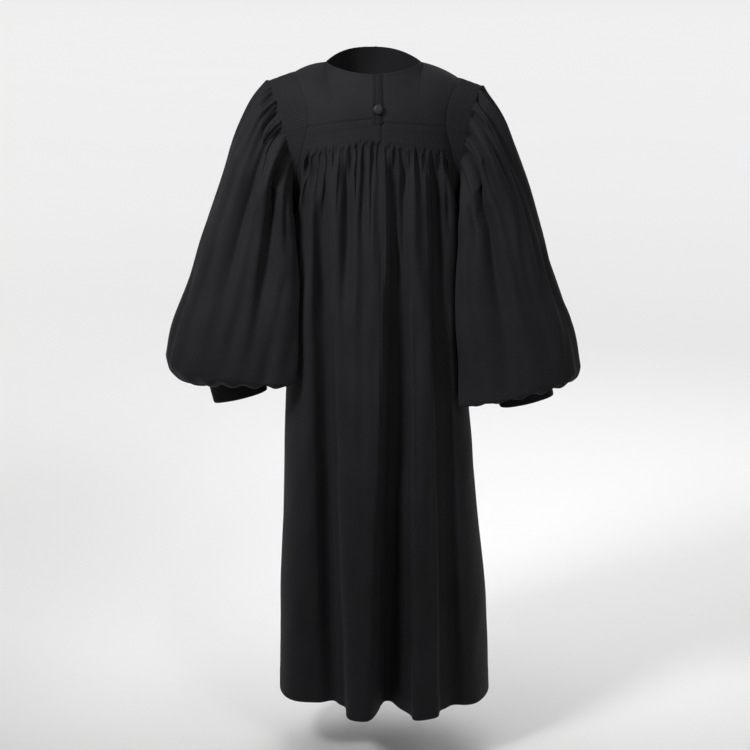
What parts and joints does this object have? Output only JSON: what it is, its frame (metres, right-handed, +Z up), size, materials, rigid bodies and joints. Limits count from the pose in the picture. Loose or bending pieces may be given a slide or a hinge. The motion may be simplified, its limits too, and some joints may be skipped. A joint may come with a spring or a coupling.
{
  "type": "clergy robe",
  "caption": "Full-length clergy robe with a yoke, shirred bands, gathered back and front, and bell sleeves gathered into cuffs.",
  "frame": {"origin": "between the shoulders, level with the sides of the neck opening, midway between the back and the front, where the wearer's shoulders hold the robe up", "axes": "+Z up, +Y out of the robe's front, so the pictured back faces -Y; +X towards the wearer's right"},
  "size_m": [0.855, 0.4205, 1.3601],
  "materials": {
    "robe_cloth": "matt",
    "yoke_cloth": "matt",
    "button_cloth": "satin"
  },
  "bodies": {
    "root": {"back_yoke_left": "yoke_cloth", "back_yoke_right": "yoke_cloth", "front_yoke_left": "yoke_cloth", "front_yoke_right": "yoke_cloth", "back_panel_left": "robe_cloth", "back_panel_right": "robe_cloth", "front_panel_left": "robe_cloth", "front_panel_right": "robe_cloth", "front_placket": "yoke_cloth", "sleeve_left": "robe_cloth", "sleeve_right": "robe_cloth", "cuff_left": "robe_cloth", "cuff_right": "robe_cloth", "hood_strap": "yoke_cloth", "hood_button": "button_cloth"}
  },
  "joints": []
}
